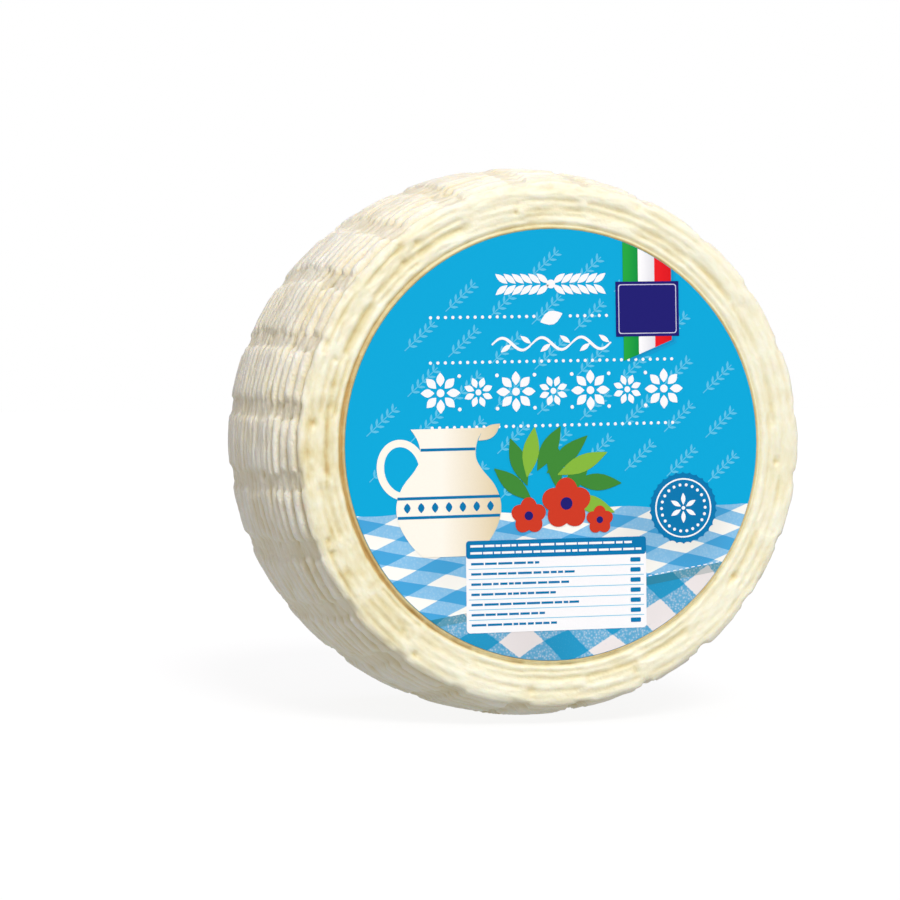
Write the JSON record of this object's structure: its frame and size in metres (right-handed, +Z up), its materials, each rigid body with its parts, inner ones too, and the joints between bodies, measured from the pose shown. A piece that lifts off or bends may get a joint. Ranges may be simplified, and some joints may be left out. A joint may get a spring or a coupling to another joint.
{
  "type": "primosale cheese wheel",
  "caption": "Whole wheel of young basket-moulded sheep's milk cheese, ridged by its basket, standing on its rim with a round label on the front face.",
  "frame": {"origin": "on the table, under the middle of the wheel", "axes": "+Y is the wheel's axis, from the labelled front face to the back face; +Z is up; +X is to the right when looking at the label"},
  "size_m": [0.1798, 0.106, 0.1787],
  "materials": {
    "fresh_cheese": "moist ivory cheese rind, softly translucent, with creases a deeper straw yellow",
    "label_paper": "glossy coated paper, printed sky blue"
  },
  "bodies": {
    "root": {"cheese_wheel": "fresh_cheese", "label": "label_paper"}
  },
  "joints": []
}
